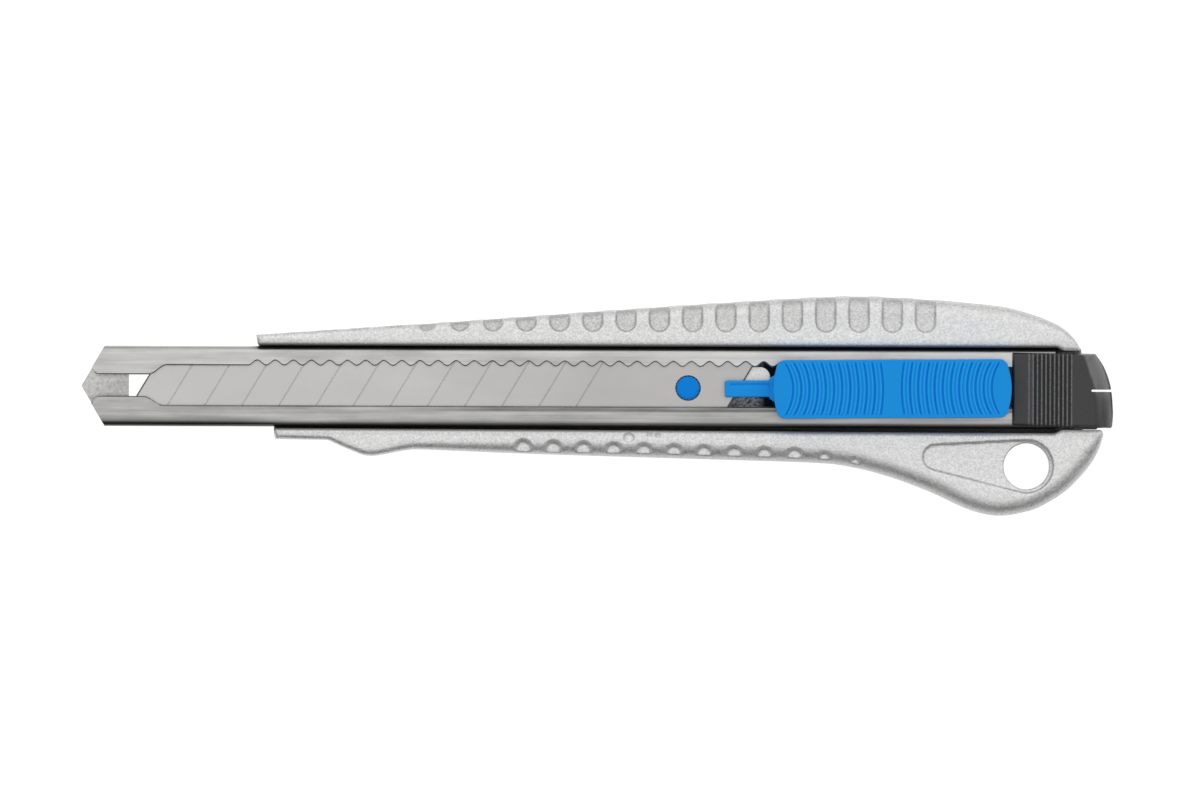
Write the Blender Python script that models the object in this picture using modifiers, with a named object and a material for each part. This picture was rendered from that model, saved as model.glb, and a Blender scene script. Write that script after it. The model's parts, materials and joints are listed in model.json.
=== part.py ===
"""Snap-off utility knife with a die-cast handle, modelled as its seven separate pieces.

Frame: the knife lies on its back. +X runs from the cutting tip to the end cap, +Y from the finger side
to the grip side and +Z out of the slider side. Z = 0 is the flat back of the handle. Lengths below are in
millimetres and are turned into metres where a mesh is made.
"""

import math

import bmesh
import bpy
from mathutils import Matrix, Vector

MM = 0.001
OBJECT = "utility_knife"

# Handle casting
HANDLE_T = 8.4  # thickness over the two faces
CHANNEL_FLOOR = 3.7  # height of the web behind the blade guide
ROUND_FRONT = 0.7  # edge rounding at the front of the rails
ROUND_REAR = 2.2  # edge rounding at the hanging loop
WEB_END_X = 65.3
HOLE_X, HOLE_Y, HOLE_R = 57.85, -7.95, 3.1
POCKET_COUNT, POCKET_X, POCKET_PITCH = 16, -23.0, 4.48
POCKET_R, POCKET_Y, POCKET_DEPTH = 1.35, 11.35, 0.6
DIMPLE_COUNT, DIMPLE_X, DIMPLE_PITCH = 12, -9.93, 4.06
DIMPLE_R, DIMPLE_FLOOR_R, DIMPLE_DEPTH, DIMPLE_INSET = 1.3, 0.9, 0.8, 0.73

# Blade guide, a folded stainless channel
GUIDE_X0, GUIDE_X1 = -69.5, 61.7
GUIDE_Y0, GUIDE_Y1 = -2.91, 7.92
GUIDE_Z0, GUIDE_Z1 = 3.8, 7.8
GUIDE_WALL = 0.6
NOSE_LENGTH = 3.2
LIP_Y0, LIP_Y1 = -0.06, 5.29  # edges of the two lips over the blade
MOUTH_Y0, MOUTH_Y1 = 1.14, 4.03  # narrower opening at the nose
RACK_X, RACK_PITCH, RACK_DEPTH, RACK_COUNT = -45.76, 2.436, 0.67, 41

# Blade, 9 mm wide
BLADE_Y0, BLADE_Y1 = -2.0, 7.0
BLADE_TIP_X, BLADE_LENGTH = -63.96, 80.5
BLADE_T, BLADE_Z = 0.4, 6.7
BLADE_SLOPE = math.tan(math.radians(59.0))
SCORE_X, SCORE_PITCH, SCORE_COUNT = -57.65, 5.0, 12
SCORE_W, SCORE_DEPTH = 0.16, 0.1
PEG_X, PEG_Y, PEG_R = 12.25, 2.45, 1.55

# Slider: carrier under the blade, lock spring and thumb piece over the lips
CARRIER_Z0, CARRIER_Z1 = 4.55, 6.05
PAD_X0, PAD_X1 = 23.85, 55.75
PAD_Y0, PAD_Y1 = -1.53, 6.37
PAD_Z0, PAD_Z1 = 8.0, 12.0
TONGUE_X0, TONGUE_Y0, TONGUE_Y1 = 17.2, 1.15, 3.4
SADDLE_R = 190.0  # the thumb rest is hollowed along X to this radius
DETENT_X = RACK_X + 31 * RACK_PITCH

# End cap
CAP_X0, CAP_X1 = 55.95, 69.5
CAP_TOP = 8.95
SLIT_X, SLIT_Y, SLIT_W = 66.5, 2.27, 0.45
RIB_COUNT, RIB_X, RIB_PITCH = 7, 58.3, 1.02

OPEN = 30.0  # reach of a cutter that runs past the stock


def clear_scene():
    for obj in list(bpy.data.objects):
        bpy.data.objects.remove(obj, do_unlink=True)


def collection(name):
    made = bpy.data.collections.new(name)
    bpy.context.scene.collection.children.link(made)
    return made


def material(name, colour, metallic, roughness):
    made = bpy.data.materials.new(name)
    made.use_nodes = True
    shader = made.node_tree.nodes["Principled BSDF"]
    shader.inputs["Base Color"].default_value = (*colour, 1.0)
    shader.inputs["Metallic"].default_value = metallic
    shader.inputs["Roughness"].default_value = roughness
    return made


def arc(cx, cy, r, start, end, steps=8):
    """Points on a circle from start to end degrees, both ends included."""
    angles = [math.radians(start + (end - start) * i / steps) for i in range(steps + 1)]
    return [(cx + r * math.cos(a), cy + r * math.sin(a)) for a in angles]


def box_outline(x0, y0, x1, y1, r, steps=4):
    """A rectangle with corners rounded to r."""
    return (
        arc(x1 - r, y0 + r, r, -90, 0, steps)
        + arc(x1 - r, y1 - r, r, 0, 90, steps)
        + arc(x0 + r, y1 - r, r, 90, 180, steps)
        + arc(x0 + r, y0 + r, r, 180, 270, steps)
    )


def smooth_path(points, steps=5):
    """A smooth run through points, given as a Catmull-Rom spline."""
    run = [Vector(p) for p in points]
    run = [2 * run[0] - run[1]] + run + [2 * run[-1] - run[-2]]
    out = []
    for a, b, c, d in zip(run, run[1:], run[2:], run[3:]):
        for i in range(steps):
            t = i / steps
            p = 0.5 * (2 * b + (c - a) * t + (2 * a - 5 * b + 4 * c - d) * t**2 + (3 * b - a - 3 * c + d) * t**3)
            out.append((p.x, p.y))
    return out + [tuple(run[-2])]


def plate(name, outlines, low, high, target, upright=False):
    """Flat outlines given a thickness from low to high. One inside another is its hole.

    The thickness runs along Z, or along X when upright, where an outline's pair is (y, z).
    """
    curve = bpy.data.curves.new(name, "CURVE")
    curve.dimensions = "2D"
    curve.fill_mode = "BOTH"
    curve.extrude = (high - low) / 2 * MM
    for outline in outlines:
        spline = curve.splines.new("POLY")
        spline.points.add(len(outline) - 1)
        for point, (x, y) in zip(spline.points, outline):
            point.co = (x * MM, y * MM, 0.0, 1.0)
        spline.use_cyclic_u = True
    flat = bpy.data.objects.new(name + "_outline", curve)
    bpy.context.scene.collection.objects.link(flat)
    bpy.context.view_layer.update()
    mesh = bpy.data.meshes.new_from_object(flat.evaluated_get(bpy.context.evaluated_depsgraph_get()))
    bpy.data.objects.remove(flat, do_unlink=True)
    mesh.name = name
    bm = bmesh.new()
    bm.from_mesh(mesh)
    bmesh.ops.remove_doubles(bm, verts=bm.verts, dist=1e-7)
    for vert in bm.verts:
        x, y, z = vert.co
        along = z + (low + high) / 2 * MM
        vert.co = (along, x, y) if upright else (x, y, along)
    bmesh.ops.recalc_face_normals(bm, faces=bm.faces)
    bm.to_mesh(mesh)
    bm.free()
    return place(name, mesh, target)


def cones(name, rounds, target, segments=24):
    """Round solids, each given as (x, y, low z, high z, low radius, high radius)."""
    mesh = bpy.data.meshes.new(name)
    bm = bmesh.new()
    for x, y, z0, z1, r0, r1 in rounds:
        place_at = Matrix.Translation(Vector((x, y, (z0 + z1) / 2)) * MM)
        bmesh.ops.create_cone(
            bm, cap_ends=True, segments=segments, radius1=r0 * MM, radius2=r1 * MM,
            depth=(z1 - z0) * MM, matrix=place_at,
        )
    bm.to_mesh(mesh)
    bm.free()
    return place(name, mesh, target)


def place(name, mesh, target):
    obj = bpy.data.objects.new(name, mesh)
    target.objects.link(obj)
    if target.name == CUTTERS:
        obj.hide_render = True
        obj.display_type = "WIRE"
    return obj


def boolean(obj, other, operation="DIFFERENCE"):
    step = obj.modifiers.new(operation.lower(), "BOOLEAN")
    step.operation = operation
    step.solver = "EXACT"
    step.object = other


def bevel(obj, width, segments=2, angle=35.0):
    step = obj.modifiers.new("bevel", "BEVEL")
    step.width = width * MM
    step.segments = segments
    step.limit_method = "ANGLE"
    step.angle_limit = math.radians(angle)


def ride_on(name, x, y, z, riders, target):
    """Gives the pieces of one moving group a parent empty on the line that they slide along."""
    axis = bpy.data.objects.new(name, None)
    axis.location = Vector((x, y, z)) * MM
    target.objects.link(axis)
    bpy.context.view_layer.update()
    for rider in riders:
        rider.parent = axis
        rider.matrix_parent_inverse = axis.matrix_world.inverted()


def finish_piece(obj, look):
    obj.data.materials.clear()
    obj.data.materials.append(look)
    obj.data.shade_smooth()
    obj.data.set_sharp_from_angle(angle=math.radians(35))


def grip_edge():
    """Upper outline of the handle, from the front of the rail to the tip over the end cap."""
    return smooth_path(
        [(-45.75, 9.47), (-22.5, 11.1), (1.75, 12.93), (17.9, 14.06), (32.7, 14.9), (42.1, 14.67),
         (50.2, 14.03), (55.6, 13.37), (60.97, 11.64), (63.66, 9.9), (WEB_END_X, 7.62)]
    )


def finger_edge():
    """Lower outline, from the rear corner round the hanging loop to the finger stop and the front."""
    return smooth_path(
        [(68.2, -3.6), (67.7, -5.43), (66.35, -7.86), (63.66, -10.83), (60.97, -12.72), (58.28, -13.94),
         (54.2, -14.62), (50.2, -13.83), (44.8, -11.42), (39.4, -9.43), (34.05, -8.1), (28.67, -7.55),
         (12.5, -7.09), (-9.0, -6.49), (-22.5, -5.99), (-25.6, -6.05), (-30.4, -6.83), (-33.2, -6.05),
         (-36.2, -4.72)],
        steps=4,
    )


def height_on(path, x):
    """Height of a path at x."""
    for (xa, ya), (xb, yb) in zip(path, path[1:]):
        if min(xa, xb) <= x <= max(xa, xb):
            return ya + (yb - ya) * (x - xa) / (xb - xa)
    return path[-1][1]


def edge_round(x):
    """The casting's edge rounding grows from the front of the rails to the loop."""
    share = min(1.0, max(0.0, (x + 40.0) / 75.0))
    return ROUND_FRONT + (ROUND_REAR - ROUND_FRONT) * share


def round_rims(obj):
    """Rounds the two rims of a plate, each stretch by its own amount."""
    bm = bmesh.new()
    bm.from_mesh(obj.data)
    for side in (-1, 1):
        bmesh.ops.dissolve_faces(bm, faces=[f for f in bm.faces if f.normal.z * side > 0.9])
    weights = bm.edges.layers.float.new("bevel_weight_edge")
    for edge in bm.edges:
        a, b = edge.verts
        on_rim = edge.is_manifold and edge.calc_face_angle() > 1.2 and abs(a.co.z - b.co.z) < 1e-6
        # The web's rear edge lies behind the end cap and stays square.
        hidden = max(abs(v.co.x / MM - WEB_END_X) for v in edge.verts) < 0.05
        if on_rim and not hidden:
            edge[weights] = edge_round((a.co.x + b.co.x) / 2 / MM) / ROUND_REAR
    bm.to_mesh(obj.data)
    bm.free()
    step = obj.modifiers.new("rims", "BEVEL")
    step.use_clamp_overlap = False
    step.width = ROUND_REAR * MM
    step.segments = 4
    step.limit_method = "WEIGHT"


def make_handle(parts, cutters, look):
    lower = finger_edge()
    outline = (
        grip_edge()
        + [(WEB_END_X, -3.02), (67.9, -3.02)]
        + lower
        + [(-43.16, -4.6), (-43.34, -3.05), (-45.45, 8.05)]
    )
    handle = plate("handle", [outline], 0.0, HANDLE_T, parts)
    round_rims(handle)
    channel = [(-OPEN - 30, 8.02), (62.0, 8.02), (62.9, 7.62), (WEB_END_X + OPEN, 7.62)]
    channel += [(WEB_END_X + OPEN, -3.02), (62.5, -3.02), (61.5, -3.48), (-43.0, -3.1), (-OPEN - 30, -3.1)]
    boolean(handle, plate("channel", [channel], CHANNEL_FLOOR, OPEN, cutters))
    boolean(handle, plate("back_panel", [box_outline(-38, -1.5, 50, 6.2, 2.0)], -1.0, 1.2, cutters))
    drilled = [(HOLE_X, HOLE_Y, -1, HANDLE_T + 1, HOLE_R, HOLE_R)]
    boolean(handle, cones("hang_hole", drilled, cutters, 40))
    recess = arc(46.0, -6.75, 1.75, 90, 255) + arc(HOLE_X, HOLE_Y, HOLE_R + 0.45, -102, 88, 14)
    pockets = []
    for k in range(POCKET_COUNT):
        x = POCKET_X + POCKET_PITCH * k
        pockets.append(arc(x, POCKET_Y, POCKET_R, 180, 360) + [(x + POCKET_R, OPEN), (x - POCKET_R, OPEN)])
    for side, low, high in (("front", HANDLE_T - 0.5, HANDLE_T + 1), ("back", -1.0, 0.5)):
        boolean(handle, plate("recess_" + side, [recess], low, high, cutters))
    for side, low, high in (("front", HANDLE_T - POCKET_DEPTH, HANDLE_T + 1), ("back", -1.0, POCKET_DEPTH)):
        boolean(handle, plate("pockets_" + side, pockets, low, high, cutters))
    dimples = []
    for k in range(DIMPLE_COUNT):
        x = DIMPLE_X + DIMPLE_PITCH * k
        size = (1.0, 0.75, 0.62)[max(0, k - DIMPLE_COUNT + 3)]
        y = height_on(lower, x) + DIMPLE_INSET
        narrow = DIMPLE_FLOOR_R * size
        flare = DIMPLE_R * size * 1.15
        dimples.append((x, y, HANDLE_T - DIMPLE_DEPTH, HANDLE_T + 0.4, narrow, flare))
        dimples.append((x, y, -0.4, DIMPLE_DEPTH, flare, narrow))
    boolean(handle, cones("dimples", dimples, cutters, 14))
    finish_piece(handle, look)


def rack_edge():
    """The scalloped edge of the upper lip that the lock spring clicks along."""
    points = []
    per_wave = 8
    for i in range(RACK_COUNT * per_wave + 1):
        x = RACK_X - RACK_PITCH / 2 + RACK_PITCH * i / per_wave
        wave = 0.5 + 0.5 * math.cos(2 * math.pi * (x - RACK_X) / RACK_PITCH)
        points.append((x, LIP_Y1 + RACK_DEPTH * wave))
    return points


def step_curve(x0, y0, x1, y1, steps=6):
    """An S-shaped change of height from one straight edge to another."""
    return [
        (x0 + (x1 - x0) * i / steps, y0 + (y1 - y0) * (0.5 - 0.5 * math.cos(math.pi * i / steps)))
        for i in range(steps + 1)
    ]


def make_guide(parts, cutters, look):
    mid = (GUIDE_Y0 + GUIDE_Y1) / 2
    wall = GUIDE_WALL
    outer = box_outline(GUIDE_Y0, GUIDE_Z0, GUIDE_Y1, GUIDE_Z1, 0.9)
    inner = box_outline(GUIDE_Y0 + wall, GUIDE_Z0 + wall, GUIDE_Y1 - wall, GUIDE_Z1 - wall, 0.3)
    guide = plate("blade_guide", [outer, inner], GUIDE_X0, GUIDE_X1, parts, upright=True)
    for side, y in (("upper", GUIDE_Y1), ("lower", GUIDE_Y0)):
        out = math.copysign(1.0, y - mid)
        corner = [(GUIDE_X0, mid), (GUIDE_X0 + NOSE_LENGTH, y), (GUIDE_X0 + NOSE_LENGTH, y + out)]
        corner += [(GUIDE_X0 - 1, y + out), (GUIDE_X0 - 1, mid)]
        boolean(guide, plate("nose_" + side, [corner], GUIDE_Z0 - 1, GUIDE_Z1 + 1, cutters))
    slot = (
        [(GUIDE_X0 - 1, LIP_Y1), (GUIDE_X0 + 1.3, LIP_Y1)]
        + arc(GUIDE_X0 + 2.55, LIP_Y1 - 0.26, 1.0, 180, 270, 5)
        + step_curve(-60.3, MOUTH_Y1, -58.3, LIP_Y1)
        + rack_edge()
        + [(GUIDE_X1 + 1, LIP_Y1), (GUIDE_X1 + 1, LIP_Y0)]
        + step_curve(-58.3, LIP_Y0, -60.7, MOUTH_Y0)
        + arc(GUIDE_X0 + 2.55, MOUTH_Y0 - 1.0, 1.0, 90, 180, 5)
        + [(GUIDE_X0 - 1, MOUTH_Y0 - 1.0)]
    )
    boolean(guide, plate("slot", [slot], GUIDE_Z1 - wall - 0.3, GUIDE_Z1 + 1, cutters))
    window = box_outline(-63.1, 0.3, -49.0, 4.9, 0.5)
    boolean(guide, plate("window", [window], GUIDE_Z0 - 1, GUIDE_Z0 + wall + 0.3, cutters))
    finish_piece(guide, look)


def make_blade(parts, cutters, look):
    """The blade is a ground strip cut off at 59 degrees, so its ends are sheared after it is extruded."""
    middle = BLADE_Z + BLADE_T / 2
    section = [
        (BLADE_Y0, middle - 0.02), (BLADE_Y0, middle + 0.02), (BLADE_Y0 + 1.1, BLADE_Z + BLADE_T),
        (BLADE_Y1, BLADE_Z + BLADE_T), (BLADE_Y1, BLADE_Z), (BLADE_Y0 + 1.1, BLADE_Z),
    ]
    blade = plate("blade", [section], BLADE_TIP_X, BLADE_TIP_X + BLADE_LENGTH, parts, upright=True)
    for vert in blade.data.vertices:
        vert.co.x += (vert.co.y - BLADE_Y0 * MM) / BLADE_SLOPE
    drilled = [(PEG_X, PEG_Y, BLADE_Z - 1, BLADE_Z + 2, PEG_R + 0.15, PEG_R + 0.15)]
    boolean(blade, cones("blade_hole", drilled, cutters, 32))
    low, high = BLADE_Y0 - 1, BLADE_Y1 + 1
    scores = []
    for k in range(SCORE_COUNT):
        near = SCORE_X + SCORE_PITCH * k + low / BLADE_SLOPE
        far = SCORE_X + SCORE_PITCH * k + high / BLADE_SLOPE
        scores.append([(near, low), (near + SCORE_W, low), (far + SCORE_W, high), (far, high)])
    top = BLADE_Z + BLADE_T
    boolean(blade, plate("scores", scores, top - SCORE_DEPTH, top + 1, cutters))
    finish_piece(blade, look)


def make_carrier(parts, cutters, look):
    body = box_outline(8.4, -2.05, 53.0, 7.05, 1.0)
    carrier = plate("blade_carrier", [body], CARRIER_Z0, CARRIER_Z1, parts)
    boss_top, peg_top = BLADE_Z - 0.1, BLADE_Z + BLADE_T + 0.25
    foot = CARRIER_Z0 + 0.5
    for name, z0, z1, r0, r1 in (
        ("boss", foot, boss_top, 2.6, 2.6),
        ("peg", foot, peg_top, PEG_R, PEG_R),
        ("dome", peg_top - 0.05, peg_top + 0.25, PEG_R, PEG_R - 0.45),
    ):
        boolean(carrier, cones(name, [(PEG_X, PEG_Y, z0, z1, r0, r1)], cutters, 32), "UNION")
    finish_piece(carrier, look)


def make_lock_spring(parts, cutters, look):
    """A steel leaf between carrier and blade, whose arm holds a round nose up into the rack."""
    low, high = CARRIER_Z1 + 0.1, CARRIER_Z1 + 0.5
    leaf = (
        [(17.0, -0.4), (23.0, -0.4), (23.0, 2.0), (26.0, 2.0), (26.6, 2.9), (40.0, 2.9), (40.0, 4.4)]
        + [(DETENT_X + 0.6, 4.4), (DETENT_X + 0.6, 5.2), (DETENT_X - 0.6, 5.2), (DETENT_X - 0.6, 4.4)]
        + [(26.0, 4.4), (25.2, 3.3), (23.3, 3.3)]
        + arc(21.95, 3.95, 1.35, 0, 90, 6)
        + [(18.6, 5.3)]
    )
    spring = plate("lock_spring", [leaf], low, high, parts)
    nose = [(DETENT_X - 0.6, 4.5)] + [(DETENT_X + 0.6, 4.5)] + arc(DETENT_X, 5.2, 0.6, 0, 180, 10)
    boolean(spring, plate("detent", [nose], low + 0.05, GUIDE_Z1 - 0.1, cutters), "UNION")
    finish_piece(spring, look)


def make_thumb_slider(parts, cutters, look):
    mid = (PAD_Y0 + PAD_Y1) / 2
    half = (PAD_Y1 - PAD_Y0) / 2
    corner, bulge = 1.2, 0.75
    ends = []
    for out, x in ((1, PAD_X1), (-1, PAD_X0)):
        inner = x - out * bulge
        side = [(inner - out * corner * (1 - math.sin(a)), half - corner * (1 - math.cos(a)))
                for a in (math.radians(15 * i) for i in range(6))]
        bow = [(inner + out * bulge * (1 - (y / (half - corner)) ** 2), y)
               for y in ((half - corner) * (1 - i / 4) for i in range(5))]
        upper = side + bow
        run = upper + [(px, -py) for px, py in reversed(upper[:-1])]
        ends += [(px, mid + out * py) for px, py in run]
    pad = plate("thumb_slider", [ends], PAD_Z0, PAD_Z1, parts)
    middle = (PAD_X0 + PAD_X1) / 2
    hollow = [(middle + SADDLE_R * math.sin(a), PAD_Z1 - 0.9 + SADDLE_R * (1 - math.cos(a)))
              for a in (math.radians(0.75 * i) for i in range(-8, 9))]
    hollow += [(middle + 25, PAD_Z1 + 5), (middle - 25, PAD_Z1 + 5)]
    saddle = plate("saddle", [[(-z, x) for x, z in hollow]], mid - 8, mid + 8, cutters, upright=True)
    for vert in saddle.data.vertices:
        y, z, x = vert.co.x, -vert.co.y, vert.co.z
        vert.co = (x, y, z)
    saddle.data.flip_normals()
    boolean(pad, saddle)
    bevel(pad, 0.5, 3)
    neck = [(27.0, 0.3), (54.0, 0.3), (54.0, 4.9), (41.0, 4.9), (41.0, 2.5), (27.0, 2.5)]
    boolean(pad, plate("neck", [neck], CARRIER_Z1 + 0.1, PAD_Z0 + 0.6, cutters), "UNION")
    tongue = box_outline(TONGUE_X0, TONGUE_Y0, PAD_X0 + 3.0, TONGUE_Y1, 0.2, 2)
    boolean(pad, plate("tongue", [tongue], GUIDE_Z1 - 0.3, PAD_Z0 + 0.7, cutters), "UNION")
    finish_piece(pad, look)


def make_end_cap(parts, cutters, look):
    rear = smooth_path([(67.1, 7.25), (68.3, 5.38), (69.17, 2.8), (CAP_X1, -0.4), (69.4, -2.45)], 4)
    block = [(CAP_X0, 7.41)] + rear + [(69.0, -2.75), (CAP_X0, -2.5)]
    cap = plate("end_cap", [block], GUIDE_Z0 + 0.1, CAP_TOP, parts)
    over_lips = [(CAP_X0 - 1, -6), (GUIDE_X1 + 0.2, -6), (GUIDE_X1 + 0.2, 12), (CAP_X0 - 1, 12)]
    boolean(cap, plate("guide_room", [over_lips], GUIDE_Z0 - 1, GUIDE_Z1 + 0.15, cutters))
    plug = box_outline(57.0, GUIDE_Y0 + 0.75, GUIDE_X1 + 1.5, GUIDE_Y1 - 0.75, 0.4, 3)
    boolean(cap, plate("plug", [plug], GUIDE_Z0 + 0.75, GUIDE_Z1 - 0.75, cutters), "UNION")
    skirt = [(WEB_END_X + 0.3, 7.2)] + rear + [(69.0, -2.75), (WEB_END_X + 0.3, -2.75)]
    boolean(cap, plate("skirt", [skirt], 1.0, GUIDE_Z0 + 1.0, cutters), "UNION")
    slit = arc(SLIT_X + SLIT_W / 2, SLIT_Y, SLIT_W / 2, 90, 270, 6)
    slit += [(CAP_X1 + 1, SLIT_Y - SLIT_W / 2), (CAP_X1 + 1, SLIT_Y + SLIT_W / 2)]
    boolean(cap, plate("slit", [slit], -1, CAP_TOP + 1, cutters))
    grooves = []
    for k in range(RIB_COUNT):
        x = RIB_X + RIB_PITCH * k
        grooves.append([(x - 0.2, -5), (x + 0.2, -5), (x + 0.2, 10), (x - 0.2, 10)])
    boolean(cap, plate("grooves", grooves, CAP_TOP - 0.3, CAP_TOP + 1, cutters))
    finish_piece(cap, look)


CUTTERS = "cutters"

clear_scene()
pieces = collection(OBJECT)
tools = collection(CUTTERS)
cast = material("cast_metal", (0.72, 0.72, 0.71), 0.7, 0.45)
steel = material("stainless_steel", (0.55, 0.54, 0.53), 1.0, 0.35)
blade_steel = material("blade_steel", (0.62, 0.61, 0.59), 1.0, 0.3)
spring_steel = material("spring_steel", (0.6, 0.58, 0.55), 1.0, 0.35)
blue = material("blue_plastic", (0.012, 0.25, 0.73), 0.0, 0.35)
dark_blue = material("carrier_plastic", (0.012, 0.22, 0.66), 0.0, 0.35)
black = material("black_plastic", (0.06, 0.06, 0.065), 0.0, 0.45)

make_handle(pieces, tools, cast)
make_guide(pieces, tools, steel)
make_blade(pieces, tools, blade_steel)
make_carrier(pieces, tools, dark_blue)
make_lock_spring(pieces, tools, spring_steel)
make_thumb_slider(pieces, tools, blue)
make_end_cap(pieces, tools, black)

guide_mid = (GUIDE_Y0 + GUIDE_Y1) / 2
sliding = [pieces.objects[name] for name in ("thumb_slider", "blade_carrier", "lock_spring", "blade")]
ride_on("blade_slide_axis", PEG_X, guide_mid, BLADE_Z, sliding, pieces)
ride_on("cap_pull_axis", CAP_X0, guide_mid, GUIDE_Z0, [pieces.objects["end_cap"]], pieces)
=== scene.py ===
"""Looks of the snap-off utility knife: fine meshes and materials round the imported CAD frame.

Lengths are in millimetres in the CAD's own frame and are turned into metres where a mesh is made.
"""

import json
import math

import bmesh
import bpy
import numpy as np
from mathutils import Matrix, Vector

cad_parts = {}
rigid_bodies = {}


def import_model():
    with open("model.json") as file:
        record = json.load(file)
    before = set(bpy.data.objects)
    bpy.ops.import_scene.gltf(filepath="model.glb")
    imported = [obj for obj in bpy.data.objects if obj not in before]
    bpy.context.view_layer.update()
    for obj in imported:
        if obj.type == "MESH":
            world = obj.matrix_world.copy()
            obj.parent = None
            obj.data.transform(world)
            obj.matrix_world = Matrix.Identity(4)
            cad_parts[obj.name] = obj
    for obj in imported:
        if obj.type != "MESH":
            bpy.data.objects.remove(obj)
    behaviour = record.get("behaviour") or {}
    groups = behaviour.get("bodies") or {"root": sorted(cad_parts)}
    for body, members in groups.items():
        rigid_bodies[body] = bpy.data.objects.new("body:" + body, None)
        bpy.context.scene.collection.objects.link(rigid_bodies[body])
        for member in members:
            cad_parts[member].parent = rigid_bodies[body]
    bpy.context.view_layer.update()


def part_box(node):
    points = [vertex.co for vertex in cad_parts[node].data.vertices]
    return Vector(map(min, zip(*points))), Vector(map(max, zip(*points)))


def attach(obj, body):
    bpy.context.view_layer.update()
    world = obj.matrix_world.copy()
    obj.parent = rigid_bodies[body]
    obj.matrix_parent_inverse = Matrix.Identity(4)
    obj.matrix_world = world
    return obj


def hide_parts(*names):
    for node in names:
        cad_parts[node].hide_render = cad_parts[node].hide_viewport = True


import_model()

MM = 0.001
FAR = 40.0  # reach of a cutter that runs past the stock
MOST_TRIANGLES = 180_000  # of a moulded piece

# The photograph's framing: the stretch of the object plane that the frame's width covers, its centre,
# its tilt in degrees and the camera's height above it.
VIEW_WIDTH = 161.5
VIEW_CENTRE = (0.4, 0.8)
VIEW_ROLL = 0.19
VIEW_DISTANCE = 3000.0

# Brightness of the studio: above, and at the horizon on either side, with the heights it blends between.
# The bright part leans towards the grip side.
SKY_TOP, SKY_FINGER_SIDE, SKY_GRIP_SIDE = 1.01, 0.02, 0.55
SKY_FROM, SKY_TO = 0.1, 0.95
SKY_LEAN = math.radians(18.0)
FLOOR_SIZE = 1600.0  # half its side
FLOOR_GLOW, FLOOR_EDGE_GLOW = 0.9, 0.05  # seen from above, and seen edge on


def node_box(name):
    """A CAD node's corners in millimetres."""
    low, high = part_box(name)
    return Vector(low) / MM, Vector(high) / MM


HANDLE_LOW, HANDLE_HIGH = node_box("handle")
GUIDE_LOW, GUIDE_HIGH = node_box("blade_guide")
BLADE_LOW, BLADE_HIGH = node_box("blade")
CARRIER_LOW, CARRIER_HIGH = node_box("blade_carrier")
SPRING_LOW, SPRING_HIGH = node_box("lock_spring")
PAD_LOW, PAD_HIGH = node_box("thumb_slider")
CAP_LOW, CAP_HIGH = node_box("end_cap")

# Handle casting
CHANNEL_FLOOR = 3.7
CHANNEL_MID, CHANNEL_HALF = 2.46, 5.56
CHANNEL_FRONT = -70.0  # a cutter's start, ahead of the casting
CHAMFER_WIDE, CHAMFER_DEEP = 0.8, 0.5  # along the channel's upper edges
RIM_MAX = 2.4  # widest edge rounding, round the hanging loop
WEB_END_X = 65.3
HOLE_X, HOLE_Y, HOLE_R = 57.85, -7.95, 3.1
RECESS_DEPTH = 0.65
POCKET_COUNT, POCKET_X, POCKET_PITCH, POCKET_R, POCKET_Y = 16, -23.0, 4.48, 1.35, 11.35
POCKET_DEPTH, POCKET_SINK = 0.8, 0.08  # depth under the faces, and under the grip edge
DIMPLE_COUNT, DIMPLE_X, DIMPLE_PITCH = 12, -9.93, 4.06
DIMPLE_R, DIMPLE_FLOOR_R, DIMPLE_DEPTH, DIMPLE_INSET = 1.3, 0.9, 0.85, 0.73
DIMPLE_SIZES = (1.0, 0.75, 0.62)  # all but the last two, and those two
STAKE_MARKS = ((4.3, -4.2, 0.85), (7.1, -3.75, 0.45), (8.2, -3.85, 0.45))  # x, y and radius

# Blade guide
WALL = 0.6
LIP_Y0, LIP_Y1 = -0.06, 5.29
MOUTH_Y0, MOUTH_Y1 = 1.14, 4.03
RACK_X, RACK_PITCH, RACK_DEPTH, RACK_COUNT = -45.76, 2.436, 0.67, 41
NOSE_LENGTH = 3.2
SLOT_CHAMFER_WIDE, SLOT_CHAMFER_DEEP = 0.32, 0.16

# Blade and its peg
BLADE_SLOPE = math.tan(math.radians(59.0))
BLADE_EDGE = 1.1  # width of the ground edge
SCORE_X, SCORE_PITCH, SCORE_COUNT, SCORE_W, SCORE_DEPTH = -57.85, 5.0, 12, 0.2, 0.32
PEG_X, PEG_Y, PEG_R, PEG_PLAY = 12.25, 2.45, 1.55, 0.17
DETENT_X = RACK_X + 31 * RACK_PITCH

# Thumb slider
PAD_X0, PAD_X1 = 23.7, 55.75
PAD_TURN = math.radians(0.45)  # the slider sits a little askew in its play
PAD_Z0 = 8.0
SADDLE_R = 190.0
RIB_PITCH, RIB_COUNT = 1.1, 11
RIB_MID_X, RIB_FIRST = 39.72, 1.25
TONGUE_Y0, TONGUE_Y1 = 1.4, 3.65

# End cap
CAP_LEAD = 0.12  # how far the shell starts ahead of the CAD's
CAP_RIM = 1.9
SLIT_X, SLIT_Y, SLIT_W = 66.5, 2.27, 0.3
CAP_RIB_COUNT, CAP_RIB_X, CAP_RIB_PITCH = 9, 58.97, 0.575
CAP_GROOVE_HALF, CAP_GROOVE_DEPTH = 0.11, 0.26
# Where the cap's top starts to fall to the rear: a parabola with its rearmost point at X and Y.
CAP_SLOPE_X, CAP_SLOPE_Y, CAP_SLOPE_BOW = 67.05, -2.5, 0.0214


# ---------------------------------------------------------------- mesh helpers


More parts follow.
